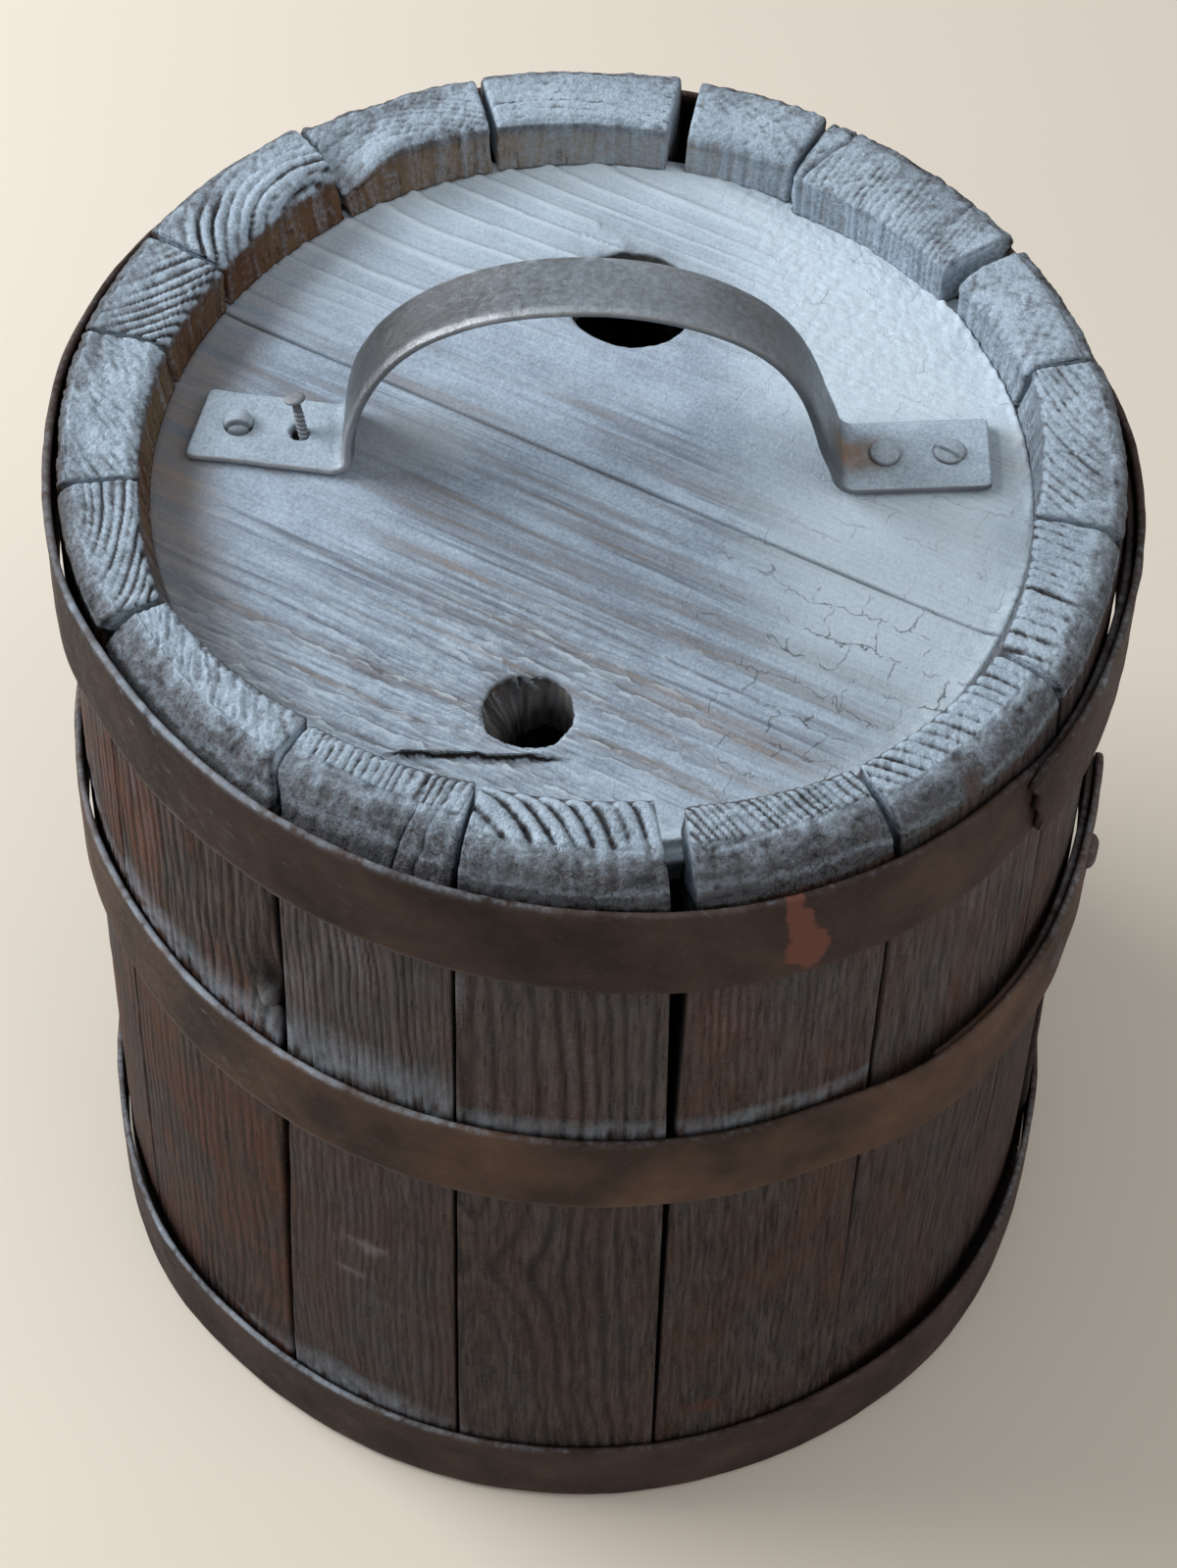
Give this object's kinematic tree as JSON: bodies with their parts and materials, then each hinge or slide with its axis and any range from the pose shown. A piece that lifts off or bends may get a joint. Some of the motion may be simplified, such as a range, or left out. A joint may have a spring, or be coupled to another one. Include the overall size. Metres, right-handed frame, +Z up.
{
  "type": "wine barrel",
  "caption": "Small coopered wine keg with tapered wooden staves, lapped and riveted iron hoops that slide on the taper, boarded heads with a bung hole and a spout hole, and a strap handle.",
  "frame": {"origin": "on the floor, at the keg's axis", "axes": "+Z up along the keg's axis; -Y towards the spout hole and the viewer; +X to the viewer's right, along the handle"},
  "size_m": [0.2702, 0.2702, 0.321],
  "materials": {
    "stave_wood": "weathered dark brown softwood, dusty, rough end grain",
    "head_wood": "bare boards under pale grey dust",
    "dowel_wood": "plain turned wood",
    "hoop_iron": "dark brown oxidised strip, satin",
    "strap_iron": "worn grey-brown strip, satin",
    "fixing_iron": "dull dusty iron"
  },
  "bodies": {
    "cask": {"stave_01": "stave_wood", "stave_02": "stave_wood", "stave_03": "stave_wood", "stave_04": "stave_wood", "stave_05": "stave_wood", "stave_06": "stave_wood", "stave_07": "stave_wood", "stave_08": "stave_wood", "stave_09": "stave_wood", "stave_10": "stave_wood", "stave_11": "stave_wood", "stave_12": "stave_wood", "stave_13": "stave_wood", "stave_14": "stave_wood", "stave_15": "stave_wood", "stave_16": "stave_wood", "top_board_front": "head_wood", "top_board_back": "head_wood", "base_board_front": "head_wood", "base_board_back": "head_wood", "top_dowel_1": "dowel_wood", "top_dowel_2": "dowel_wood", "base_dowel_1": "dowel_wood", "base_dowel_2": "dowel_wood", "handle": "strap_iron", "handle_screw_left": "fixing_iron", "handle_screw_loose": "fixing_iron", "handle_nail_right": "fixing_iron", "handle_screw_right": "fixing_iron"},
    "top_hoop": {"top_hoop": "hoop_iron", "top_hoop_rivet_1": "hoop_iron", "top_hoop_rivet_2": "hoop_iron"},
    "middle_hoop": {"middle_hoop": "hoop_iron", "middle_hoop_rivet_1": "hoop_iron", "middle_hoop_rivet_2": "hoop_iron"},
    "bottom_hoop": {"bottom_hoop": "hoop_iron", "bottom_hoop_rivet_1": "hoop_iron", "bottom_hoop_rivet_2": "hoop_iron"}
  },
  "joints": [
    {"name": "top_hoop_slide", "type": "slide", "parent": "cask", "child": "top_hoop", "axis": [0, 0, 1], "range_m": [0, 0.045]},
    {"name": "middle_hoop_slide", "type": "slide", "parent": "cask", "child": "middle_hoop", "axis": [0, 0, 1], "range_m": [0, 0.054]},
    {"name": "bottom_hoop_slide", "type": "slide", "parent": "cask", "child": "bottom_hoop", "axis": [0, 0, 1], "range_m": [0, 0.13]}
  ]
}
